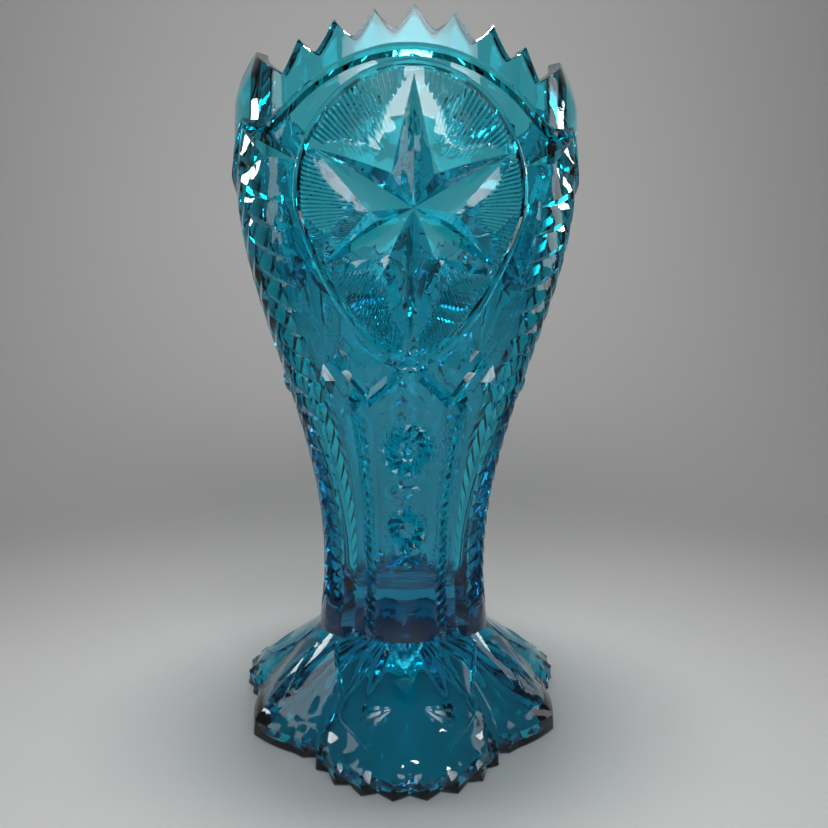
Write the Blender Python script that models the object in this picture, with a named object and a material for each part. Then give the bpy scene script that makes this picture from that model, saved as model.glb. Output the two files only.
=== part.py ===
"""A three-sided pressed glass vase on a scalloped foot, in metres.

The vase stands on z = 0 with its axis on the Z axis, and one of its three faces looks along -Y.
It is one pressing: bowl, collar, waist and foot are the same piece of glass. Each ring of the
outside is a round plan with three softly raised corners. The foot bulges into three toothed lobes
with a plain point between each pair, and the rim is cut into teeth with a tall horn on each corner.
"""

import math

import bmesh
import bpy
from mathutils import Vector

# How the plan repeats. Every face has this many points on each side of its middle.
FACES = 3
HALF_FACE_STEPS = 12

# Heights, stacked from the table up.
FOOT_EDGE_HEIGHT = 0.0065
FOOT_RISE = 0.0280
SKIRT_HEIGHT = 0.0225
BODY_HEIGHT = 0.157
COLLAR_HEIGHT = 0.0302
TOOTH_HEIGHT = 0.0075
HORN_HEIGHT = 0.0098

# The rim falls from the middle of a face towards the corners, before it climbs the horns.
RIM_ARCH = 0.018

# Radii of the outside, on a corner and in the middle of a face.
WAIST_CORNER_RADIUS = 0.0353
WAIST_FACE_RADIUS = 0.0312
SKIRT_SWELL = 0.0015
SHOULDER_CORNER_RADIUS = 0.0702
SHOULDER_FACE_RADIUS = 0.0674
# Over 1, the body stays narrow for longer before it flares.
FLARE_POWER = 1.1
COLLAR_STEP = 0.0012
COLLAR_INSET = 0.0004
HORN_LEAN = 0.0048

# The foot: its lobes, the points between them, and its teeth.
FOOT_LOBE_RADIUS = 0.0360
FOOT_LOBE_REACH = 0.0380
FOOT_VALLEY_RADIUS = 0.0608
FOOT_POINT_RADIUS = 0.0655
FOOT_TOOTH_DEPTH = 0.0030
# Notches and points along half a lobe, counted together.
FOOT_TEETH = 10
FOOT_VALLEY_ANGLE = math.radians(42)
FOOT_SLOPE_POWER = 1.0
FOOT_EDGE_CHAMFER = 0.0008

# The inside, and the hollow under the foot.
RIM_WALL = 0.0052
SHOULDER_WALL = 0.0072
WAIST_WALL = 0.0110
BOWL_FLOOR_HEIGHT = 0.050
BOWL_FLOOR_CORNER = 0.012
UNDERSIDE_HEIGHT = 0.024
UNDERSIDE_RIM_WIDTH = 0.009

# Rim teeth: seven across a face, then the horn from its root to the corner.
RIM_TOOTH_PITCH = math.radians(11.1)
RIM_TEETH = 7

# Where the stacked heights fall.
FOOT_TOP = FOOT_EDGE_HEIGHT + FOOT_RISE
WAIST = FOOT_TOP + SKIRT_HEIGHT
COLLAR = WAIST + BODY_HEIGHT
RIM = COLLAR + COLLAR_HEIGHT

GLASS_COLOUR = (0.0, 0.33, 0.42, 1.0)
GLASS_IOR = 1.52
SMOOTH_ANGLE = math.radians(28)

HALF_FACE = math.pi / FACES
POINTS = FACES * 2 * HALF_FACE_STEPS


def ease(share):
    """Run from 0 to 1 with level ends."""
    share = min(max(share, 0.0), 1.0)
    return share * share * (3 - 2 * share)


def mix(low, high, share):
    return low + (high - low) * share


def cornerness(angle):
    """How far a point of the plan is towards a corner: 0 in the middle of a face, 1 on a corner."""
    return ((1 - math.cos(FACES * angle)) / 2) ** 1.5


def even_angles():
    """Angles from the middle of a face to its corner, evenly spaced."""
    return [HALF_FACE * step / HALF_FACE_STEPS for step in range(HALF_FACE_STEPS + 1)]


def rim_angles():
    """Angles on the tips and the notches of the rim's teeth, and then up the horn."""
    toothed = [RIM_TOOTH_PITCH / 2 * step for step in range(RIM_TEETH + 1)]
    left = HALF_FACE_STEPS - RIM_TEETH
    horn = [mix(toothed[-1], HALF_FACE, step / left) for step in range(1, left + 1)]
    return toothed + horn


def foot_angles():
    """Angles on the notches and the tips of the foot's teeth, and then out to the point."""
    pitch = FOOT_VALLEY_ANGLE / FOOT_TEETH
    toothed = [pitch * step for step in range(FOOT_TEETH + 1)]
    left = HALF_FACE_STEPS - FOOT_TEETH
    point = [mix(toothed[-1], HALF_FACE, step / left) for step in range(1, left + 1)]
    return toothed + point


def blended(first, second, share):
    return [mix(one, other, share) for one, other in zip(first, second)]


def ring(half_angles, place):
    """Points all round the vase. place(step, angle from the middle of the face) gives (radius, z)."""
    points = []
    for index in range(POINTS):
        face, step = divmod(index, 2 * HALF_FACE_STEPS)
        away = step if step <= HALF_FACE_STEPS else 2 * HALF_FACE_STEPS - step
        side = 1 if step <= HALF_FACE_STEPS else -1
        middle = 2 * HALF_FACE * (face + (side < 0))
        radius, z = place(away, half_angles[away])
        turn = middle + side * half_angles[away] - math.pi / 2
        points.append(Vector((radius * math.cos(turn), radius * math.sin(turn), z)))
    return points


def body_radius(z, angle):
    """Radius of the outside between the waist and the collar."""
    share = ease(max((z - WAIST) / BODY_HEIGHT, 0.0) ** FLARE_POWER)
    face = mix(WAIST_FACE_RADIUS, SHOULDER_FACE_RADIUS, share)
    corner = mix(WAIST_CORNER_RADIUS, SHOULDER_CORNER_RADIUS, share)
    return mix(face, corner, cornerness(angle))


def body_ring(z, inset=0.0):
    return ring(even_angles(), lambda step, angle: (body_radius(z, angle) - inset, z))


def tooth_root(angle):
    """Height of the line that the rim's teeth stand on."""
    return RIM - RIM_ARCH * (1 - math.cos(angle * FACES / 2))


def rim_height(step, angle):
    """Height of the rim's top edge: teeth along the face, a horn on the corner."""
    if step <= RIM_TEETH:
        return tooth_root(angle) + (TOOTH_HEIGHT if step % 2 == 0 else 0.0)
    horn_start = rim_angles()[RIM_TEETH]
    climb = (angle - horn_start) / (HALF_FACE - horn_start)
    return mix(tooth_root(horn_start), RIM + HORN_HEIGHT, climb)


def rim_ring(inset):
    """The rim's top edge, whose horns lean inwards."""

    def place(step, angle):
        lean = HORN_LEAN * cornerness(angle) ** 3
        radius = body_radius(COLLAR, angle) + COLLAR_STEP - COLLAR_INSET - lean
        return radius - inset, rim_height(step, angle)

    return ring(rim_angles(), place)


def collar_ring(rise, inset):
    """A ring of the collar, as a share of the way from the step up to the root of the teeth."""
    angles = blended(even_angles(), rim_angles(), rise)

    def place(step, angle):
        radius = body_radius(COLLAR, angle) + COLLAR_STEP - COLLAR_INSET * rise
        return radius - inset, mix(COLLAR, tooth_root(angle) - TOOTH_HEIGHT / 2, rise)

    return ring(angles, place)


def foot_radius(step, angle, teeth):
    """Radius of the foot's edge: a round lobe with teeth, a valley, and a point on the corner."""
    if angle > FOOT_VALLEY_ANGLE:
        out = (angle - FOOT_VALLEY_ANGLE) / (HALF_FACE - FOOT_VALLEY_ANGLE)
        return mix(FOOT_VALLEY_RADIUS, FOOT_POINT_RADIUS, out)
    aside = FOOT_LOBE_REACH * math.sin(angle)
    arc = math.sqrt(max(FOOT_LOBE_RADIUS**2 - aside**2, 0.0)) + FOOT_LOBE_REACH * math.cos(angle)
    notch = FOOT_TOOTH_DEPTH if teeth and step % 2 == 0 and step < FOOT_TEETH else 0.0
    return max(arc, FOOT_VALLEY_RADIUS) - notch


def foot_ring(z, inset=0.0):
    return ring(foot_angles(), lambda step, angle: (foot_radius(step, angle, True) - inset, z))


def foot_top_ring(share):
    """A ring of the foot's top, as a share of the way from its edge up to the skirt."""
    angles = blended(foot_angles(), even_angles(), share)

    def place(step, angle):
        edge = foot_radius(step, angle, share == 0)
        stem = body_radius(WAIST, angle) + SKIRT_SWELL
        return mix(edge, stem, share), mix(FOOT_EDGE_HEIGHT, FOOT_TOP, share**FOOT_SLOPE_POWER)

    return ring(angles, place)


def wall_at(z):
    """Thickness of the wall, which grows from the rim down to the waist."""
    if z > COLLAR:
        return mix(SHOULDER_WALL, RIM_WALL, (z - COLLAR) / COLLAR_HEIGHT)
    return mix(WAIST_WALL, SHOULDER_WALL, ease((z - BOWL_FLOOR_HEIGHT) / (COLLAR - BOWL_FLOOR_HEIGHT)))


def underside_ring(share):
    """A ring of the hollow under the foot, as a share of the way from its lip to its crown."""

    def place(step, angle):
        lip = foot_radius(step, angle, False) - UNDERSIDE_RIM_WIDTH
        return lip * (1 - share), UNDERSIDE_HEIGHT * math.sin(share * math.pi / 2)

    return ring(foot_angles(), place)


def outside_rings():
    """The rings of the outside, from the table up to the rim."""
    rings = [foot_ring(0.0, FOOT_EDGE_CHAMFER), foot_ring(FOOT_EDGE_CHAMFER)]
    rings += [foot_top_ring(share) for share in (0.0, 0.25, 0.5, 0.75, 0.9, 1.0)]
    steps = 15
    rings += [body_ring(WAIST + BODY_HEIGHT * step / steps) for step in range(steps + 1)]
    rings += [collar_ring(rise, 0.0) for rise in (0.0, 0.5, 1.0)]
    rings.append(rim_ring(0.0))
    return rings


def inside_rings():
    """The rings of the inside, from the rim down to the bowl's floor."""
    rings = [rim_ring(RIM_WALL), collar_ring(1.0, RIM_WALL), collar_ring(0.0, SHOULDER_WALL)]
    steps = 9
    low = BOWL_FLOOR_HEIGHT + BOWL_FLOOR_CORNER
    for step in range(1, steps + 1):
        z = mix(COLLAR, low, step / steps)
        rings.append(body_ring(z, wall_at(z)))
    for turn in (math.radians(30), math.radians(60), math.radians(90)):
        z = BOWL_FLOOR_HEIGHT + BOWL_FLOOR_CORNER * (1 - math.sin(turn))
        rings.append(body_ring(z, wall_at(low) + BOWL_FLOOR_CORNER * (1 - math.cos(turn))))
    return rings


def underside_rings():
    """The rings of the hollow under the foot, from its crown out to its lip."""
    return [underside_ring(share) for share in (0.8, 0.6, 0.4, 0.2, 0.0)]


def lofted(rings):
    """One closed skin through the rings, with a flat cap over the first and the last."""
    bm = bmesh.new()
    bmesh.ops.create_circle(bm, segments=POINTS, radius=1.0, cap_ends=False)
    bm.verts.ensure_lookup_table()
    loop = list(bm.verts)
    edges = list(bm.edges)
    for number, points in enumerate(rings):
        if number:
            made = bmesh.ops.extrude_edge_only(bm, edges=edges)["geom"]
            following = [part for part in made if isinstance(part, bmesh.types.BMVert)]
            edges = [part for part in made if isinstance(part, bmesh.types.BMEdge) and part.is_boundary]
            fresh = set(following)
            loop = [next(e.other_vert(v) for e in v.link_edges if e.other_vert(v) in fresh) for v in loop]
        for vertex, point in zip(loop, points):
            vertex.co = point
    bmesh.ops.holes_fill(bm, edges=[edge for edge in bm.edges if edge.is_boundary], sides=0)
    bmesh.ops.triangulate(bm, faces=bm.faces[:])
    bmesh.ops.recalc_face_normals(bm, faces=bm.faces[:])
    return bm


def glass():
    """Transparent teal glass."""
    material = bpy.data.materials.new("teal_glass")
    material.use_nodes = True
    shader = material.node_tree.nodes["Principled BSDF"]
    shader.inputs["Base Color"].default_value = GLASS_COLOUR
    shader.inputs["Roughness"].default_value = 0.02
    shader.inputs["Metallic"].default_value = 0.0
    shader.inputs["IOR"].default_value = GLASS_IOR
    shader.inputs["Transmission Weight"].default_value = 1.0
    return material


def vase():
    """The whole pressing, as one object named vase."""
    bm = lofted(underside_rings() + outside_rings() + inside_rings())
    mesh = bpy.data.meshes.new("vase")
    bm.to_mesh(mesh)
    bm.free()
    mesh.materials.append(glass())
    mesh.shade_smooth()
    mesh.set_sharp_from_angle(angle=SMOOTH_ANGLE)
    piece = bpy.data.objects.new("vase", mesh)
    bpy.context.scene.collection.objects.link(piece)
    return piece


for old in list(bpy.data.objects):
    bpy.data.objects.remove(old, do_unlink=True)
vase()
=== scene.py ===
# %% [markdown]
# # A pressed glass vase with three faces
#
# This lesson makes the look of a tall teal vase. The real object is one pressing: a plunger pushed
# hot glass against the three walls of an iron mould, and everything that looks cut was carved into
# those walls. So this lesson draws the pattern the way a mould maker would. Each line is drawn on a
# flat chart of one face, with a depth at each end, and the chart is then wrapped round the body.

import math

import bmesh
import bpy
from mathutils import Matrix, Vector
from mathutils.bvhtree import BVHTree
from mathutils.geometry import delaunay_2d_cdt
from mathutils.kdtree import KDTree


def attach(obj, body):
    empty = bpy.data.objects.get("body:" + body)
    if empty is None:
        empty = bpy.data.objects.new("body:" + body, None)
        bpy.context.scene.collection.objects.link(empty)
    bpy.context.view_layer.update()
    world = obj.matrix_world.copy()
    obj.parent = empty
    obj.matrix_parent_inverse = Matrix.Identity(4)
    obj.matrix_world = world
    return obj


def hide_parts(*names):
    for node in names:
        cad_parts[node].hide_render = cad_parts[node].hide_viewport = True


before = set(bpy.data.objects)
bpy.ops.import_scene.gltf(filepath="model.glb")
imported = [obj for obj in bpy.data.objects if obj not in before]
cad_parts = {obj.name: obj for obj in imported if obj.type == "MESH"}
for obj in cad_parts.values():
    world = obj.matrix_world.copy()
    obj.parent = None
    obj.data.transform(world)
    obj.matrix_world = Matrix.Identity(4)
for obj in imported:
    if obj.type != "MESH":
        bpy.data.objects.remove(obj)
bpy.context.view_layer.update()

# %% [markdown]
# ## The plain body
#
# Before any pattern there is a plain shape: a round plan with three soft corners, narrow at the
# waist and wide at the collar, standing on a foot with three round lobes. These are the same
# measures and curves as the solid model, in millimetres here, because a depth of cut reads best
# in millimetres. Angles run from the middle of a face, and a corner is 60 degrees away.

# %% Measures of the body
HALF_FACE = math.radians(60)
CHART_RADIUS = 60.0
EDGE_TOP = 6.5
FOOT_TOP = 34.5
WAIST = 57.0
COLLAR = 214.0
RIM = 244.2
TOOTH = 7.5
HORN = 9.8
TOOTH_PITCH = 11.1
LAST_NOTCH = 38.85


def ease(share):
    """Run from 0 to 1 with level ends."""
    share = min(max(share, 0.0), 1.0)
    return share * share * (3 - 2 * share)


def mix(low, high, share):
    return low + (high - low) * share


def cornerness(angle):
    """0 in the middle of a face, 1 on a corner."""
    return ((1 - math.cos(3 * angle)) / 2) ** 1.5


def body_radius(height, angle):
    share = ease(max((height - WAIST) / (COLLAR - WAIST), 0.0) ** 1.1)
    return mix(mix(31.2, 67.4, share), mix(35.3, 70.2, share), cornerness(angle))


def foot_radius(angle):
    """Edge of the foot without its teeth: a round lobe, a valley, then a straight run to a point."""
    angle = abs(angle)
    valley = math.radians(42)
    if angle > valley:
        return mix(60.8, 65.5, (angle - valley) / (HALF_FACE - valley))
    aside = 38.0 * math.sin(angle)
    arc = math.sqrt(max(36.0**2 - aside**2, 0.0)) + 38.0 * math.cos(angle)
    return max(arc, 60.8)


def tooth_root(degrees):
    return RIM - 18.0 * (1 - math.cos(math.radians(degrees) * 1.5))


def rim_height(degrees):
    """Top edge of the wall: seven pointed teeth with round notches, then the climb up the horn."""
    degrees = abs(degrees)
    if degrees >= LAST_NOTCH:
        return mix(tooth_root(LAST_NOTCH), RIM + HORN, (degrees - LAST_NOTCH) / (60 - LAST_NOTCH))
    from_notch = 1 - abs(((degrees / TOOTH_PITCH) + 0.5) % 1.0 - 0.5) * 2
    return tooth_root(degrees) + TOOTH * from_notch**1.35


print("waist radius", body_radius(WAIST, 0), "collar radius", body_radius(COLLAR, 0))

# %% [markdown]
# ## Wrapping the chart
#
# The chart of one face is 126 mm wide. Across, it is the angle times 60 mm. Up, it is the height,
# except that below the waist it first follows the skirt, then runs out over the foot, and last goes
# down the foot's edge. One function turns a point of the chart and its depth into a point in space.
# A positive depth stands proud and a negative one is cut in.

# %% Wrap
SLAB = -8.0


def wrap(across, up, depth, middle):
    """A point in space, in metres, from a chart point in millimetres and the face's own direction."""
    angle = across / CHART_RADIUS
    if up >= WAIST:
        radius, height, lift = body_radius(min(up, COLLAR), angle), up, 0.0
        if up > COLLAR:
            rise = (up - COLLAR) / (RIM - COLLAR)
            radius -= 0.4 * min(rise, 1.0)
            radius -= 4.8 * cornerness(angle) ** 3 * (max(up - 239.0, 0.0) / 15.0) ** 1.3
    elif up >= FOOT_TOP:
        swell = ease((WAIST - up) / (WAIST - FOOT_TOP))
        radius, height, lift = body_radius(WAIST, angle) + 1.5 * swell, up, 0.0
    elif up >= 0:
        share = up / FOOT_TOP
        stem = body_radius(WAIST, angle) + 1.5
        radius = mix(foot_radius(angle), stem, share)
        height = mix(EDGE_TOP, FOOT_TOP, share)
        lift = 1 - share**3
    else:
        radius, height, lift = foot_radius(angle), EDGE_TOP * (1 - up / SLAB), 0.0
    height += depth * lift
    radius += depth * (1 - lift * 0.6)
    turn = middle + angle - math.pi / 2
    return Vector((radius * math.cos(turn), radius * math.sin(turn), height)) / 1000


# %% [markdown]
# ## The drawing table
#
# A mould maker cuts along lines, and the metal between two lines is a flat or gently curved facet.
# The drawing keeps each line as points with a depth. A triangulation of all the lines then gives
# the facets. The `mirrored` lines are drawn on both halves of the face at once, which keeps the two
# sides of the chart alike, so that three charts close round the vase.

# %% Drawing table


class Drawing:
    """Lines on the chart. A point is (degrees from the face's middle, height, depth in mm)."""

    def __init__(self):
        self.points = []
        self.lines = []
        self.found = {}

    def point(self, degrees, up, depth):
        across = math.radians(degrees) * CHART_RADIUS
        key = (round(across * 20), round(up * 20))
        if key not in self.found:
            self.found[key] = len(self.points)
            self.points.append((across, up, depth))
        return self.found[key]

    def line(self, points, closed=False):
        numbers = [self.point(*point) for point in points]
        pairs = zip(numbers, numbers[1:] + (numbers[:1] if closed else []))
        self.lines += [pair for pair in pairs if pair[0] != pair[1]]

    def mirrored(self, points, closed=False):
        self.line(points, closed)
        self.line([(-degrees, up, depth) for degrees, up, depth in points], closed)


def between(first, last, count, bulge=0.0):
    """Points on a straight line, with an optional extra depth in its middle."""
    made = []
    for step in range(count + 1):
        share = step / count
        point = [mix(a, b, share) for a, b in zip(first, last)]
        point[2] += bulge * 4 * share * (1 - share)
        made.append(tuple(point))
    return made


drawing = Drawing()

# %% [markdown]
# ## Rim, collar and arch
#
# The collar is the plain smooth band under the teeth. It ends at an arch that springs from the
# corners and crosses each face just over the medallion. On the real vase the arch is a rolled edge
# with a cove under it, which is what catches the long white highlight.

# %% Rim, collar and arch
RIM_STEP = TOOTH_PITCH / 12
rim_line = []
position = 0.0
while position < LAST_NOTCH - 0.01:
    rim_line.append((position, rim_height(position) - 0.6, 1.0))
    position += RIM_STEP
for step in range(19):
    degrees = mix(LAST_NOTCH, 60, step / 18)
    rim_line.append((degrees, rim_height(degrees) - 0.6, mix(1.0, 0.2, (degrees - LAST_NOTCH) / 21.15)))
drawing.mirrored(rim_line)

ARCH = [(0, 237.0), (6, 236.7), (12, 235.6), (18, 233.8), (24, 231.2), (30, 227.8)]
ARCH += [(35, 224.2), (39, 221.6), (43, 219.9), (46, 219.8), (53, 222.6), (60, 226.6)]


def smooth_curve(anchors, pieces):
    """A smooth run of points through the anchors (Catmull-Rom)."""
    made = []
    for index in range(len(anchors) - 1):
        before = anchors[max(index - 1, 0)]
        start, end = anchors[index], anchors[index + 1]
        after = anchors[min(index + 2, len(anchors) - 1)]
        for step in range(pieces):
            t = step / pieces
            made.append(
                tuple(
                    0.5
                    * (
                        2 * s
                        + (e - b) * t
                        + (2 * b - 5 * s + 4 * e - a) * t * t
                        + (3 * s - b - 3 * e + a) * t**3
                    )
                    for b, s, e, a in zip(before, start, end, after)
                )
            )
    made.append(tuple(anchors[-1]))
    return made


arch = smooth_curve(ARCH, 4)
for rise, depth in ((2.6, 0.9), (1.2, 1.4), (0.0, 1.1), (-0.8, -0.8)):
    drawing.mirrored([(degrees, up + rise, depth - 0.8 * ease((degrees - 34) / 26)) for degrees, up in arch])
print("rim and arch:", len(drawing.points), "points")

# %% [markdown]
# ## The medallion
#
# Each face carries a tall oval. Its border is a rolled bead: up from the cove outside, over a round
# top, and down to a sunk field. The bead ends in a point at the bottom, like a leaf.

# %% Medallion border
OVAL_WIDE = 36.5
OVAL_MIDDLE = 191.0
OVAL_UP = 43.5
OVAL_DOWN = 51.5


def oval(turn, inset):
    """A point of the oval. turn runs from 0 at the top to pi at the bottom tip."""
    across = (OVAL_WIDE - inset * 1.02) * math.sin(turn)
    if turn <= math.pi / 2:
        return across, OVAL_MIDDLE + (OVAL_UP - inset) * math.cos(turn)
    lower = (turn - math.pi / 2) / (math.pi / 2)
    narrow = 1 - 0.10 * math.sin(lower * math.pi)
    return across * narrow, OVAL_MIDDLE + (OVAL_DOWN - inset) * math.cos(turn)


BEAD = [(-1.0, -1.0), (-0.45, -0.6), (0.15, -0.4), (0.7, -0.65), (1.2, -1.5)]
OVAL_STEPS = 44


def bead_swell(turn):
    """The bead is a fine line over the top and grows to a broad band at the bottom tip."""
    return 1 + 2.3 * ease((turn / math.pi - 0.55) / 0.45)


for inset, depth in BEAD:
    ring = []
    for step in range(OVAL_STEPS + 1):
        turn = math.pi * step / OVAL_STEPS
        swell = bead_swell(turn)
        ring.append((*oval(turn, inset * swell), depth + (0.45 * (swell - 1) if -1.0 < inset < 1.2 else 0.0)))
    drawing.mirrored(ring)

# %% [markdown]
# ## The star
#
# Six long kites meet in the middle of the medallion. Each has a sharp spine from the middle to its
# tip and two shoulders near the middle, so it is four facets. The spines stand proud in the middle
# and sink into the field at the tips.

# %% Star
STAR = (0.0, 187.6)
TIPS = [(0.0, 231.0), (29.5, 209.5), (31.0, 171.5), (0.0, 147.5), (-31.0, 171.5), (-29.5, 209.5)]
FIELD = -1.5


def around_star(reach, turn):
    """A chart point at that distance from the star's middle. turn is 0 upwards, growing to the right."""
    return (
        STAR[0] + math.degrees(reach * math.sin(turn) / CHART_RADIUS),
        STAR[1] + reach * math.cos(turn),
    )


def polar(point):
    across = math.radians(point[0] - STAR[0]) * CHART_RADIUS
    return math.hypot(across, point[1] - STAR[1]), math.atan2(across, point[1] - STAR[1])


rays = [polar(tip) for tip in TIPS]
for number, (reach, turn) in enumerate(rays):
    middle = (*STAR, 3.8)
    tip = (*TIPS[number], FIELD)
    spine = between(middle, tip, 6, 0.9)
    drawing.line(spine)
    for side in (-1, 1):
        _, next_turn = rays[(number + side) % 6]
        apart = (next_turn - turn + math.pi) % (2 * math.pi) - math.pi
        valley = (*around_star(14.5, turn + apart / 2), FIELD - 2.1)
        shoulder = (*around_star(reach * 0.34, turn + apart * 0.20), -0.3)
        drawing.line([middle, shoulder])
        drawing.line(between(shoulder, tip, 5))
        drawing.line([shoulder, valley])
        drawing.line(between(valley, tip, 5))
        drawing.line([middle, (*around_star(7.0, turn + apart / 2), 0.5), valley])
print("star:", len(drawing.points), "points so far")

# %% [markdown]
# ## The fans
#
# Fine mitred rays fill the field between the kites. A cutter would run a sharp wheel from the oval
# inwards, so each ray is a groove between two ridges, all pointing at the star's middle.

# %% Fans
def oval_reach(turn):
    """Distance from the star's middle to the inside of the bead, in that direction."""
    low, high = 10.0, 60.0
    for _ in range(30):
        middle = (low + high) / 2
        degrees, up = around_star(middle, turn)
        border = 1.4 * bead_swell(math.pi - abs(math.atan2(degrees, OVAL_MIDDLE - up)))
        dx = degrees / (OVAL_WIDE - border * 1.02)
        tall = (OVAL_UP if up > OVAL_MIDDLE else OVAL_DOWN) - border
        dy = (up - OVAL_MIDDLE) / tall
        if up < OVAL_MIDDLE:
            lower = math.asin(min(1.0, abs(dy))) / (math.pi / 2)
            dx /= 1 - 0.10 * math.sin(lower * math.pi)
        inside = dx * dx + dy * dy < 1
        low, high = (middle, high) if inside else (low, middle)
    return low


fan_count = 316
made = 0
for number in range(fan_count):
    turn = 2 * math.pi * (number + 0.5) / fan_count
    nearest = min(abs((turn - t + math.pi) % (2 * math.pi) - math.pi) for _, t in rays)
    if nearest < 0.05:
        continue
    outer = oval_reach(turn)
    inner = outer * (0.56 + 0.07 * math.sin((number // 2) * 2.4))
    ray_reach = [r for r, t in rays if abs((turn - t + math.pi) % (2 * math.pi) - math.pi) == nearest][0]
    inner = min(max(inner, ray_reach * (1.0 - nearest * 1.15) + 0.8, 18.5), outer - 1.5)
    ridge = number % 2
    start = (*around_star(inner, turn), FIELD)
    depth = FIELD + 0.35 if ridge else FIELD - 0.35
    end = (*around_star(outer, turn), depth)
    middle = (*around_star(mix(inner, outer, 0.35), turn), depth)
    drawing.line([start, middle, end])
    made += 1
print("fan lines:", made)

# %% [markdown]
# ## Under the medallion
#
# Square studs stand either side of the leaf tip, and mitred grooves cross between them. The
# studs are small flat-topped pyramids, so they flash dark or white as a whole.

# %% Studs and crossing grooves


def stud(degrees, up, wide, tall, height, flat):
    """A flat-topped diamond."""
    base = [(degrees, up + tall), (degrees + wide, up), (degrees, up - tall), (degrees - wide, up)]
    top = [(mix(degrees, d, flat), mix(up, u, flat)) for d, u in base]
    low = [(d, u, -1.3) for d, u in base]
    high = [(d, u, height) for d, u in top]
    drawing.mirrored(low, True)
    drawing.mirrored(high, True)
    for pair in zip(low, high):
        drawing.mirrored(list(pair))


stud(26.8, 144.6, 3.3, 4.2, -2.4, 0.62)
stud(27.2, 125.8, 4.0, 4.0, 1.8, 0.30)
stud(38.5, 133.5, 4.4, 6.4, 1.3, 0.35)
GABLE = (19.6, 126.4)
for start, end, depth in ((138.7, 0.0, 1.1), (135.9, -2.6, -0.9)):
    drawing.mirrored(between((0.0, start, depth), (GABLE[0], GABLE[1] + end, depth), 7))
drawing.mirrored(between((3.0, 139.4, -1.0), (20.6, 129.2, -1.0), 6))
drawing.mirrored(between((*GABLE, 1.1), (32.5, 140.5, 0.6), 5))
drawing.mirrored(between((23.0, 127.2, -0.9), (34.8, 139.8, -0.9), 4))
drawing.mirrored(between((20.6, 129.2, -1.0), (29.5, 140.9, -1.0), 4))
drawing.mirrored(between((8.0, 140.4, -1.0), (20.5, 138.0, -0.4), 4))
print("under the medallion:", len(drawing.points), "points so far")

# %% [markdown]
# ## The panel below
#
# A narrow panel runs down to the waist between two rope borders. It holds a pinwheel, and below it
# a smaller round motif, with small mitred diamonds above and below that.

# %% Panel: pinwheel and lower motif
PANEL = 21.5
PANEL_DEPTH = -0.9


def on_panel(up, reach, turn, depth):
    """A chart point at that true distance from a motif's middle, so that the motif is round on the glass."""
    height = up + reach * math.cos(turn)
    return (math.degrees(reach * math.sin(turn) / body_radius(height, 0.0)), height, depth)


def swirl(up, radius, hub, blades, twist, height):
    """A round motif whose blades curl, each with a crest and a groove."""
    rim = []
    for number in range(blades * 2):
        base = math.pi * number / blades
        crest = number % 2 == 0
        run = []
        for step in range(6):
            share = step / 5
            reach = mix(hub, radius, share)
            turn = base + twist * share
            depth = PANEL_DEPTH + (height if crest else -height) * math.sin(math.pi * min(share + 0.25, 1))
            run.append(on_panel(up, reach, turn, depth))
        drawing.line(run)
        rim.append(run[-1])
    hub_ring = []
    for number in range(blades * 2):
        turn = math.pi * number / blades
        hub_ring.append(on_panel(up, hub, turn, PANEL_DEPTH))
    drawing.line(hub_ring[::2], True)
    drawing.line(rim, True)


swirl(108.0, 13.6, 4.4, 11, 1.2, 0.95)
swirl(108.0, 3.5, 1.3, 5, 0.6, 0.6)
swirl(77.5, 10.8, 3.2, 9, -1.1, 0.9)
for up, tall in ((92.6, 1.2), (62.0, 2.0), (52.0, 1.6)):
    for bend in (-1, 1):
        side = between((-16, up, PANEL_DEPTH), (0, up + tall * bend, 0.2), 4)
        drawing.line(side + [(-degrees, height, depth) for degrees, height, depth in side[-2::-1]])

# %% Panel borders: a rope cut across with short mitres
BORDER_TOP = 122.5
BORDER_FOOT = 37.0


def upright(degrees, depth, low, high, pieces=34):
    drawing.mirrored(between((degrees, low, depth), (degrees, high, depth), pieces))


upright(PANEL, PANEL_DEPTH, BORDER_FOOT, BORDER_TOP)
upright(29.5, -0.8, BORDER_FOOT, 119.0)
ROPE_PITCH = 3.6
up = BORDER_FOOT + 1.0
while up + 6.4 < 120:
    drawing.mirrored(between((PANEL + 0.5, up, -0.6), (25.5, up + 2.4, 1.2), 2) + [(29.0, up + 4.6, -0.5)])
    drawing.mirrored([(PANEL + 0.5, up + 1.8, -0.9), (25.5, up + 4.2, 0.2), (29.0, up + 6.4, -0.8)])
    up += ROPE_PITCH
print("panel:", len(drawing.points), "points so far")

# %% [markdown]
# ## The corner columns
#
# Each corner carries a braid: leaf-shaped cuts that slope down from the corner on both sides. Every
# leaf has a sharp spine between two hollows, and the leaves grow towards the collar.

# %% Corner columns
COLUMN = 43.0


def leaf(top, inner, slope, tall):
    """One leaf of the braid: its upper edge starts on the corner at that height."""
    count = 5
    upper, hollow, spine = [], [], []
    for step in range(count + 1):
        share = step / count
        degrees = mix(60.0, inner, share)
        fall = slope * share ** 0.9
        round_off = math.sin(math.pi * (0.5 + share / 2))
        upper.append((degrees, top - fall, mix(0.9, -0.6, share)))
        hollow.append((degrees, top - fall - tall * 0.32 * max(round_off, 0.15), mix(-0.9, -0.9, share)))
        spine.append((degrees, top - fall - tall * 0.62 * max(round_off, 0.15), mix(0.2, -0.8, share)))
    drawing.mirrored(upper)
    drawing.mirrored(hollow)
    drawing.mirrored(spine)


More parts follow.
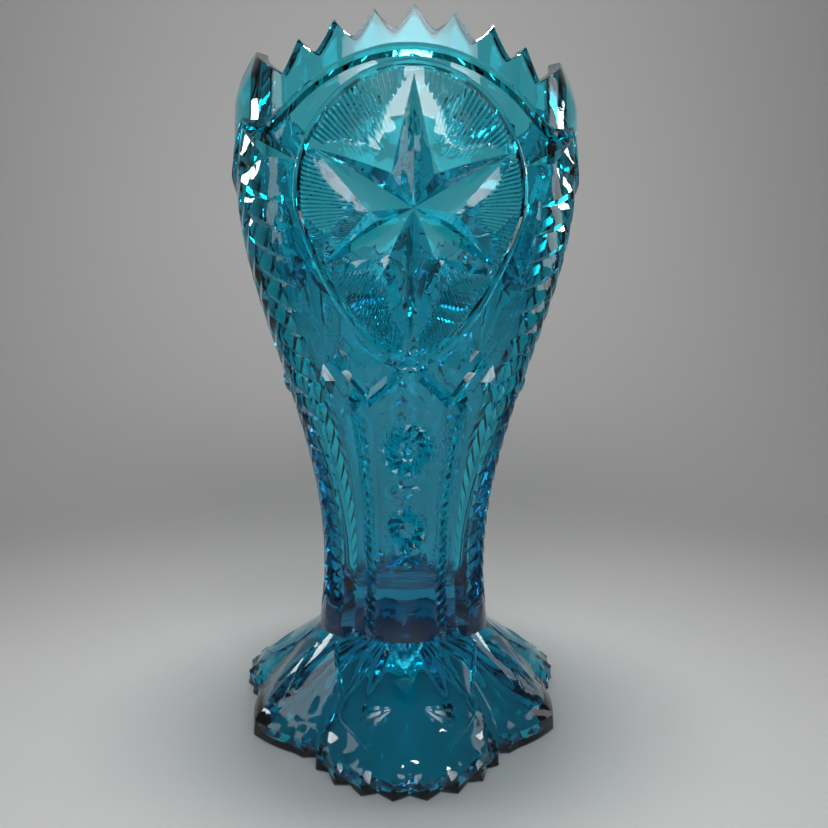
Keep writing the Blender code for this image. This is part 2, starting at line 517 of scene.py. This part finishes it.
KITE_TIP = (60.0, 225.0)
KITE_END = (34.5, 206.0)
KITE_CREST = (44.5, 213.4, 1.5)
for corner in ((43.5, 216.6), (47.0, 210.6)):
    drawing.mirrored(between((*KITE_TIP, 0.4), (*corner, -0.3), 4))
    drawing.mirrored(between((*corner, -0.3), (*KITE_END, -0.5), 4))
    drawing.mirrored([(*corner, -0.3), KITE_CREST])
drawing.mirrored(between((*KITE_TIP, 0.4), KITE_CREST, 4))
drawing.mirrored(between(KITE_CREST, (*KITE_END, -0.5), 4))

top = 215.5
leaf_count = 0
while top > 48:
    share = ease((top - WAIST) / (COLLAR - WAIST))
    tall = mix(5.6, 9.7, share)
    inner = 53.0 if leaf_count == 0 else mix(46.0, COLUMN, share)
    slope = 4.5 if leaf_count == 0 else mix(7.0, 11.0, share)
    if top - slope - tall < FOOT_TOP + 1:
        break
    leaf(top, inner, slope, tall)
    top -= tall
    leaf_count += 1
column_edge = [(40.6, 203.0), (41.0, 196.0), (41.2, 180.0), (41.6, 165.0), (42.2, 150.0)]
column_edge += [(44.6, 140.0), (44.8, 126.0), (44.0, 110.0), (44.4, 90.0), (44.4, 62.0), (44.6, 38.0)]
drawing.mirrored([(degrees, up, -0.2) for degrees, up in smooth_curve(column_edge, 7)])
flute = [(36.6, 120.0), (36.8, 105.0), (37.0, 90.0), (37.0, 75.0), (37.0, 62.0), (37.0, 38.0)]
drawing.mirrored([(degrees, up, -1.9) for degrees, up in smooth_curve(flute, 6)])
print("leaves on each side of a corner:", leaf_count, "points:", len(drawing.points))

# %% [markdown]
# ## Waist line, skirt and foot
#
# A fine line closes the pattern at the waist, and the skirt under it is plain. On the foot, ridges
# run from the stem out to a raised knuckle on each side of a lobe and on to its front, which makes a
# broad star of flat facets when all three lobes are seen together. The edge is a thick slab with a
# row of pointed teeth.

# %% Waist, foot ridges and edge teeth
drawing.mirrored(between((0, FOOT_TOP, 0.0), (60, FOOT_TOP, 0.0), 40))

STEM_END = (43.5, 30.5)
BEND = (29.3, 17.3)
KNUCKLE = (25.8, 11.9)
FRONT = (12.8, 7.0)
OUTER = (43.2, 5.4)
LOW = (24.6, 7.3)
RIB_SECTION = [(-1.0, 0.0), (-0.75, 0.55), (-0.4, 0.88), (0.0, 1.0), (0.4, 0.88), (0.75, 0.55), (1.0, 0.0)]


def rib(first, last, wide, height, base=0.0):
    """A narrow raised strip on the foot with a round top, like half a rod laid on it."""
    run = Vector((math.radians(last[0] - first[0]) * CHART_RADIUS, last[1] - first[1]))
    aside = Vector((-run.y, run.x)).normalized() * wide / 2
    for share, round_off in RIB_SECTION:
        depth = mix(base, height, round_off)
        ends = []
        for degrees, up in (first, last):
            ends.append((degrees + math.degrees(aside.x * share / CHART_RADIUS), up + aside.y * share, depth))
        drawing.mirrored(between(*ends, 6))


rib(STEM_END, BEND, 2.2, 0.9, 0.2)
rib((KNUCKLE[0] - 1.2, KNUCKLE[1] - 0.8), FRONT, 1.2, 0.8, 0.2)
rib((58.0, 21.5), (55.0, 12.4), 1.4, 0.9, 0.2)
drawing.mirrored([(*BEND, 0.5), (*KNUCKLE, 0.8)])
drawing.mirrored(between((*KNUCKLE, 0.8), (*OUTER, -0.2), 5))
drawing.mirrored(between((*KNUCKLE, 0.8), (*LOW, -0.5), 2))
drawing.mirrored(between((*LOW, -0.5), (*OUTER, -0.2), 5))
drawing.mirrored(between((*LOW, -0.5), (*FRONT, 0.3), 3))
drawing.mirrored(between((0, 5.2, -0.2), (*FRONT, 0.2), 4))
drawing.mirrored(between((*OUTER, -0.2), (50.0, 12.0, -0.2), 3))
drawing.mirrored(between((50.0, 12.0, -0.2), (60.0, 6.0, 0.6), 4))
drawing.mirrored(between((50.0, 12.0, -0.2), (*BEND, 0.2), 6))
for number in range(9):
    turn = math.radians(mix(85, 150, number / 8))
    ends = []
    fan_depth = 0.25 if number % 2 else -0.25
    for reach, depth in ((1.5, 0.0), (5.0, fan_depth), (12.0, fan_depth)):
        across = math.degrees(reach * math.sin(turn) / CHART_RADIUS)
        ends.append((5.0 + across, 17.0 + reach * math.cos(turn) * 0.7, depth))
    drawing.mirrored(ends)

FOOT_PITCH = 8.4
edge_low, edge_high, edge_in = [], [], []
stations = [FOOT_PITCH * step / 12 for step in range(61)] + [42.0 + step for step in range(1, 19)]
for degrees in stations:
    depth = 0.0
    if degrees < FOOT_PITCH * 4.5:
        from_tip = abs((degrees / FOOT_PITCH) % 1.0 - 0.5) * 2
        depth = -3.2 * from_tip**0.95
    edge_low.append((degrees, SLAB, depth - 0.5))
    edge_high.append((degrees, 0.0, depth - 0.2))
    edge_in.append((degrees, 2.0, depth * 0.45 + 0.1))
low_ring = [(degrees, SLAB + 1.0, depth + 0.7) for degrees, _, depth in edge_low]
high_ring = [(degrees, -1.0, depth + 0.2) for degrees, _, depth in edge_high]
for ring in (edge_low, low_ring, high_ring, edge_high, edge_in):
    drawing.mirrored(ring)
drawing.mirrored(between((0, 4.4, -0.35), (60, 4.4, -0.2), 40))
print("whole drawing:", len(drawing.points), "points,", len(drawing.lines), "lines")

# %% [markdown]
# ## From lines to facets
#
# First the drawing alone is triangulated, which gives every spot of the chart a depth. Then a fine
# net of extra points is laid over it at those depths, so that the facets can bend with the body.
# The second triangulation keeps every drawn line as an edge, so the mitres stay crisp.

# %% Triangulate
half_width = HALF_FACE * CHART_RADIUS
print("half the chart's width:", round(half_width, 2), "mm")


def triangulated(points, lines):
    """Delaunay triangles of the lines, with the depth of every point they end up with."""
    flat = [Vector((across, up)) for across, up, _ in points]
    made = delaunay_2d_cdt(flat, lines, [], 0, 1e-4)
    spots, edges, faces, came_from = made[0], made[1], made[2], made[3]
    edge_sources = made[4]
    depths = [points[source[0]][2] if source else None for source in came_from]
    for (first, second), sources in zip(edges, edge_sources):
        for here in (first, second):
            if depths[here] is None and sources:
                start, end = (points[number] for number in lines[sources[0]])
                run = Vector(end[:2]) - Vector(start[:2])
                share = (spots[here] - Vector(start[:2])).dot(run) / max(run.length_squared, 1e-9)
                depths[here] = mix(start[2], end[2], share)
    kept_lines = [tuple(edge) for edge, sources in zip(edges, edge_sources) if sources]
    full = [(spot.x, spot.y, depth or 0.0) for spot, depth in zip(spots, depths)]
    return full, kept_lines, faces


coarse, coarse_lines, coarse_faces = triangulated(drawing.points, drawing.lines)
surface = BVHTree.FromPolygons([Vector(point) for point in coarse], [list(face) for face in coarse_faces])


def depth_at(across, up):
    hit = surface.ray_cast(Vector((across, up, 50)), Vector((0, 0, -1)))
    return hit[0].z if hit[0] else None


def in_pieces(points, lines, longest):
    """The same lines, cut into short lengths."""
    points, cut = list(points), []
    for first, second in lines:
        start, end = points[first], points[second]
        count = max(1, math.ceil(math.dist(start[:2], end[:2]) / longest))
        last = first
        for step in range(1, count):
            points.append(tuple(mix(a, b, step / count) for a, b in zip(start, end)))
            cut.append((last, len(points) - 1))
            last = len(points) - 1
        cut.append((last, second))
    return points, cut


fine, fine_lines = in_pieces(coarse, coarse_lines, 2.2)
near = KDTree(len(fine))
for number, (across, up, _) in enumerate(fine):
    near.insert((across, up, 0), number)
near.balance()
NET = 1.7
row = 0
up = SLAB
added = 0
while up < 254:
    count = int(half_width * 2 / NET)
    for step in range(count + 1):
        here = -half_width + (step + (0.5 if row % 2 else 0.0)) * half_width * 2 / count
        if abs(here) > half_width - 0.5 or near.find((here, up, 0))[2] < 0.62:
            continue
        if up > rim_height(math.degrees(here / CHART_RADIUS)) - 1.3:
            continue
        depth = depth_at(here, up)
        if depth is not None:
            fine.append((here, up, depth))
            added += 1
    up += NET * 0.87
    row += 1
seam_lines = []
for side in (-1, 1):
    previous = None
    on_seam = sorted({round(p[1], 3) for p in fine if abs(p[0] - side * half_width) < 0.01})
    for up in on_seam:
        index = next(
            number
            for number, point in enumerate(fine)
            if abs(point[0] - side * half_width) < 0.01 and abs(point[1] - up) < 0.002
        )
        if previous is not None:
            gap = fine[index][1] - fine[previous][1]
            count = max(1, math.ceil(gap / 2.2))
            last = previous
            for step in range(1, count):
                spot = mix(fine[previous][1], fine[index][1], step / count)
                fine.append((side * half_width, spot, mix(fine[previous][2], fine[index][2], step / count)))
                seam_lines.append((last, len(fine) - 1))
                last = len(fine) - 1
            seam_lines.append((last, index))
        previous = index
chart, _, chart_faces = triangulated(fine, fine_lines + seam_lines)
print("chart of one face:", len(chart), "points", len(chart_faces), "triangles")

# %% [markdown]
# ## Closing the glass
#
# The chart is wrapped three times. The rim's edge loop is then drawn inwards and down, ring by ring,
# which makes the top of the teeth, the inner wall and the floor of the bowl, like the plunger that
# shaped them. The edge loop of the foot is drawn in the same way to make the hollow underneath.

# %% Outside
bm = bmesh.new()


def under_rim(face):
    """Whether a triangle lies below the line of the teeth."""
    across = sum(chart[number][0] for number in face) / 3
    up = sum(chart[number][1] for number in face) / 3
    return up < rim_height(math.degrees(across / CHART_RADIUS)) - 0.6


for face_number in range(3):
    middle = face_number * 2 * HALF_FACE
    made = [bm.verts.new(wrap(across, up, depth, middle)) for across, up, depth in chart]
    for face in chart_faces:
        if under_rim(face):
            bm.faces.new([made[number] for number in face])
loose = [vertex for vertex in bm.verts if not vertex.link_faces]
bmesh.ops.delete(bm, geom=loose, context="VERTS")
bmesh.ops.remove_doubles(bm, verts=bm.verts, dist=0.00003)
open_edges = [edge for edge in bm.edges if edge.is_boundary]
print("outside:", len(bm.faces), "faces,", len(open_edges), "open edges")

# %% Inside and underside
BOWL_FLOOR = 50.0
FLOOR_CORNER = 12.0
HOLLOW = 24.0
LIP_WIDTH = 9.0


def wall_at(height):
    if height > COLLAR:
        return mix(7.2, 5.2, min((height - COLLAR) / (RIM - COLLAR), 1.0))
    return mix(11.0, 7.2, ease((height - BOWL_FLOOR) / (COLLAR - BOWL_FLOOR)))


def drawn(edges, places):
    """Extrude a loop of edges through a list of places. Each place maps a start point to its next one."""
    starts = {vertex: vertex.co * 1000 for edge in edges for vertex in edge.verts}
    for place in places:
        made = bmesh.ops.extrude_edge_only(bm, edges=edges)["geom"]
        fresh = {part for part in made if isinstance(part, bmesh.types.BMVert)}
        edges = [part for part in made if isinstance(part, bmesh.types.BMEdge) and part.is_boundary]
        following = {}
        for vertex, start in starts.items():
            for edge in vertex.link_edges:
                other = edge.other_vert(vertex)
                if other in fresh:
                    following[other] = start
        for vertex, start in following.items():
            vertex.co = place(start) / 1000
        starts = following
    return edges


def folded(angle):
    """The angle from the middle of the nearest face."""
    turned = (angle + math.pi / 2 + HALF_FACE) % (2 * HALF_FACE) - HALF_FACE
    return abs(turned)


def at(angle, radius, height):
    return Vector((radius * math.cos(angle), radius * math.sin(angle), height))


def rim_place(inset, rise):
    def place(start):
        angle = math.atan2(start.y, start.x)
        return at(angle, math.hypot(start.x, start.y) - inset, start.z + rise)

    return place


def collar_place(share):
    def place(start):
        angle = math.atan2(start.y, start.x)
        top = math.hypot(start.x, start.y) - 5.1
        low = body_radius(COLLAR, folded(angle)) - wall_at(COLLAR) + 0.3
        return at(angle, mix(top, low, ease(share)), mix(start.z - 1.0, COLLAR - 4, share))

    return place


def bowl_place(height):
    def place(start):
        angle = math.atan2(start.y, start.x)
        return at(angle, body_radius(height, folded(angle)) - wall_at(height), height)

    return place


def floor_place(turn, shrink):
    def place(start):
        angle = math.atan2(start.y, start.x)
        start_height = BOWL_FLOOR + FLOOR_CORNER
        wall = body_radius(start_height, folded(angle)) - wall_at(start_height)
        reach = wall - FLOOR_CORNER * (1 - math.cos(turn))
        return at(angle, reach * shrink, BOWL_FLOOR + FLOOR_CORNER * (1 - math.sin(turn)))

    return place


def underside_place(share):
    def place(start):
        angle = math.atan2(start.y, start.x)
        lip = foot_radius(folded(angle)) - LIP_WIDTH
        rays = 0.25 * math.cos(24 * angle) * math.sin(math.pi * min(share * 1.15, 1.0))
        return at(angle, lip * (1 - share), HOLLOW * math.sin(share * math.pi / 2) + rays)

    return place


def lip_place(inset, rise):
    def place(start):
        angle = math.atan2(start.y, start.x)
        reach = mix(math.hypot(start.x, start.y), foot_radius(folded(angle)) - LIP_WIDTH, inset)
        return at(angle, reach, rise)

    return place


top_loop = [edge for edge in open_edges if edge.verts[0].co.z > 0.2]
foot_loop = [edge for edge in open_edges if edge.verts[0].co.z < 0.003]
print("rim loop", len(top_loop), "edges, foot loop", len(foot_loop), "edges")
rings = [rim_place(0.35, 0.45), rim_place(0.9, 0.6), rim_place(4.3, 0.6)]
rings += [rim_place(4.9, 0.3), rim_place(5.1, -1.0)]
rings += [collar_place(step / 8) for step in range(1, 9)]
rings += [bowl_place(mix(COLLAR - 4, BOWL_FLOOR + FLOOR_CORNER, step / 44)) for step in range(1, 45)]
rings += [floor_place(math.radians(turn), 1.0) for turn in (10, 20, 30, 40, 50, 60, 70, 80, 90)]
rings += [floor_place(math.radians(90), shrink) for shrink in (0.75, 0.5, 0.25)]
floor_edges = drawn(top_loop, rings)
hollow = [lip_place(0.06, 0.0), lip_place(0.9, 0.0), lip_place(1.0, 0.5)]
hollow += [underside_place(step / 16) for step in range(1, 16)]
crown_edges = drawn(foot_loop, hollow)
bmesh.ops.holes_fill(bm, edges=floor_edges, sides=0)
bmesh.ops.holes_fill(bm, edges=crown_edges, sides=0)
bmesh.ops.triangulate(bm, faces=bm.faces[:])
bmesh.ops.recalc_face_normals(bm, faces=bm.faces[:])
left_open = [edge for edge in bm.edges if not edge.is_manifold]
print("whole vase:", len(bm.faces), "triangles,", len(left_open), "edges left open")
print("glass volume:", round(bm.calc_volume() * 1e6), "ml")

# %% [markdown]
# ## Teal glass
#
# The colour is in the glass itself, not on it, so it comes from absorption: red light dies within a
# few millimetres while blue and green pass. Thin walls stay pale and the thick foot turns deep.
# Pressed glass is not polished like cut glass, so a weak waviness bends its reflections a little.

# %% Shader helper


class Maker:
    """Makes shader nodes by type, so that a material reads as a few lines."""

    def __init__(self, material):
        material.use_nodes = True
        self.tree = material.node_tree
        self.tree.nodes.clear()

    def node(self, kind, settings=(), **sockets):
        made = self.tree.nodes.new(kind)
        for name, value in settings:
            setattr(made, name, value)
        for name, value in sockets.items():
            self.feed(made.inputs[name.replace("_", " ")], value)
        return made

    def feed(self, socket, value):
        if isinstance(value, Value):
            self.tree.links.new(value.socket, socket)
        elif isinstance(value, bpy.types.NodeSocket):
            self.tree.links.new(value, socket)
        else:
            socket.default_value = value


class Value:
    """A number that runs through the shader, with the usual arithmetic."""

    def __init__(self, maker, socket):
        self.maker = maker
        self.socket = socket

    def math(self, operation, first, second):
        made = self.maker.node("ShaderNodeMath", [("operation", operation)])
        self.maker.feed(made.inputs[0], first)
        self.maker.feed(made.inputs[1], second)
        return Value(self.maker, made.outputs[0])

    def __add__(self, other):
        return self.math("ADD", self, other)

    __radd__ = __add__

    def __mul__(self, other):
        return self.math("MULTIPLY", self, other)

    __rmul__ = __mul__

    def __sub__(self, other):
        return self.math("SUBTRACT", self, other)

    def __rsub__(self, other):
        return self.math("SUBTRACT", other, self)


# %% Glass
GLASS_TINT = (0.0, 0.950, 0.972, 1.0)
GLASS_DENSITY = 260.0
glass = bpy.data.materials.new("teal_glass")
maker = Maker(glass)
place = maker.node("ShaderNodeTexCoord").outputs["Object"]
wave = Value(maker, maker.node("ShaderNodeTexNoise", Vector=place, Scale=55.0, Detail=2.0).outputs["Fac"])
grain = Value(maker, maker.node("ShaderNodeTexNoise", Vector=place, Scale=900.0, Detail=1.0).outputs["Fac"])
bump = maker.node("ShaderNodeBump", Height=wave + grain * 0.04, Strength=0.35, Distance=0.0006)
shader = maker.node(
    "ShaderNodeBsdfPrincipled",
    Base_Color=(0.38, 0.77, 0.90, 1.0),
    Roughness=grain * 0.02 + 0.004,
    Metallic=0.0,
    IOR=1.52,
    Transmission_Weight=1.0,
    Normal=bump.outputs["Normal"],
)
body = maker.node("ShaderNodeVolumeAbsorption", Color=GLASS_TINT, Density=GLASS_DENSITY)
output = maker.node("ShaderNodeOutputMaterial")
maker.feed(output.inputs["Surface"], shader.outputs[0])
maker.feed(output.inputs["Volume"], body.outputs[0])


def slant(part):
    """How far along a slanted line the part's points lie, added up."""
    return math.fsum(v.co.x * 0.1234567 + v.co.y * 0.3456789 + v.co.z for v in part.verts)


# The mesh operators above may list the same triangles in another order on another run, so
# everything is put in one fixed order along the slanted line.
bm.verts.sort(key=lambda v: v.co.x * 0.1234567 + v.co.y * 0.3456789 + v.co.z)
bm.edges.sort(key=slant)
bm.faces.sort(key=slant)
mesh = bpy.data.meshes.new("pressed_glass")
bm.to_mesh(mesh)
bm.free()
mesh.materials.append(glass)
mesh.shade_smooth()
mesh.set_sharp_from_angle(angle=math.radians(14))
vase = bpy.data.objects.new("pressed_glass", mesh)
bpy.context.scene.collection.objects.link(vase)
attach(vase, "root")
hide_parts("vase")
print("glass piece made")

# %% [markdown]
# ## Stage, light and camera
#
# A pale sweep of paper stands under and behind the vase. A wide panel in front lights the room and
# puts a pale sheen on the top of the glass. A small panel overhead, strips at the sides and a small
# lamp behind each corner give it bright shapes to bend, with darker gaps so that the facets separate.
# The camera stands close and level with the middle of the vase. The plain display curve is chosen
# because the film-like one turns a deep teal grey.

# %% Sweep
SWEEP = [(-1.5, 0.0), (-1.0, 0.0), (-0.5, 0.0), (0.0, 0.0), (0.2, 0.0), (0.36, 0.02), (0.5, 0.08)]
SWEEP += [(0.6, 0.17), (0.66, 0.29), (0.685, 0.45), (0.69, 0.8), (0.69, 1.8)]
paper = bmesh.new()
lengthwise = [paper.verts.new((-2.2, y, z)) for y, z in smooth_curve(SWEEP, 10)]
profile = [paper.edges.new(pair) for pair in zip(lengthwise, lengthwise[1:])]
made = bmesh.ops.extrude_edge_only(paper, edges=profile)["geom"]
far_side = [part for part in made if isinstance(part, bmesh.types.BMVert)]
bmesh.ops.translate(paper, verts=far_side, vec=(4.4, 0, 0))
bmesh.ops.recalc_face_normals(paper, faces=paper.faces[:])
sweep_mesh = bpy.data.meshes.new("paper_sweep")
paper.to_mesh(sweep_mesh)
paper.free()
sweep_mesh.shade_smooth()
paper_look = bpy.data.materials.new("pale_paper")
maker = Maker(paper_look)
place = maker.node("ShaderNodeTexCoord").outputs["Object"]
fibre = Value(maker, maker.node("ShaderNodeTexNoise", Vector=place, Scale=180.0, Detail=3.0).outputs["Fac"])
bump = maker.node("ShaderNodeBump", Height=fibre, Strength=0.06, Distance=0.0004)
shader = maker.node(
    "ShaderNodeBsdfPrincipled",
    Base_Color=(0.42, 0.42, 0.415, 1.0),
    Roughness=fibre * 0.1 + 0.5,
    Normal=bump.outputs["Normal"],
)
output = maker.node("ShaderNodeOutputMaterial")
maker.feed(output.inputs["Surface"], shader.outputs[0])
sweep_mesh.materials.append(paper_look)
sweep = bpy.data.objects.new("paper_sweep", sweep_mesh)
bpy.context.scene.collection.objects.link(sweep)

# %% Lights


def panel(name, place, aim, wide, tall, power, spread=180):
    """A soft rectangular light that faces its aim. A smaller spread keeps its pool of light narrow."""
    light = bpy.data.lights.new(name, "AREA")
    light.shape = "RECTANGLE"
    light.size = wide
    light.size_y = tall
    light.energy = power
    light.spread = math.radians(spread)
    made = bpy.data.objects.new(name, light)
    made.location = place
    made.rotation_euler = (Vector(aim) - Vector(place)).to_track_quat("-Z", "Y").to_euler()
    bpy.context.scene.collection.objects.link(made)
    return made


panel("overhead", (0.0, 0.0, 0.85), (0, -0.06, 0.0), 0.2, 0.1, 0.6, 62)
panel("room_front", (0.0, -0.8, 0.63), (0, 0, 0.5), 1.2, 0.4, 4.4, 100)
panel("left_strip", (-0.7, -0.1, 0.4), (0, 0, 0.12), 0.12, 0.5, 0.35)
panel("right_strip", (0.7, 0.1, 0.4), (0, 0, 0.12), 0.12, 0.4, 0.25)
for side in (-1, 1):
    panel("corner_light", (side * 0.62, 0.2, 0.47), (side * 0.05, -0.04, 0.2), 0.1, 0.08, 0.035, 60)
panel("sparkle", (0.12, -0.55, 1.15), (0, 0, 0.12), 0.09, 0.09, 1.0)
panel("wall_wash", (0.0, 0.3, 1.35), (0, 0.69, 0.95), 1.4, 0.15, 1.7)

world = bpy.data.worlds.new("room")
world.use_nodes = True
world.node_tree.nodes["Background"].inputs["Color"].default_value = (0.55, 0.57, 0.58, 1)
world.node_tree.nodes["Background"].inputs["Strength"].default_value = 0.20
bpy.context.scene.world = world

# %% Camera
bpy.context.scene.view_settings.view_transform = "Standard"
camera_data = bpy.data.cameras.new("camera")
camera_data.sensor_width = 36
camera_data.lens = 27.09
camera = bpy.data.objects.new("camera", camera_data)
camera.location = (-0.0095, -0.2667, 0.1271)
camera.rotation_euler = (math.radians(90 - 1.36), math.radians(-0.4), math.radians(-2.9))
bpy.context.scene.collection.objects.link(camera)
bpy.context.scene.camera = camera
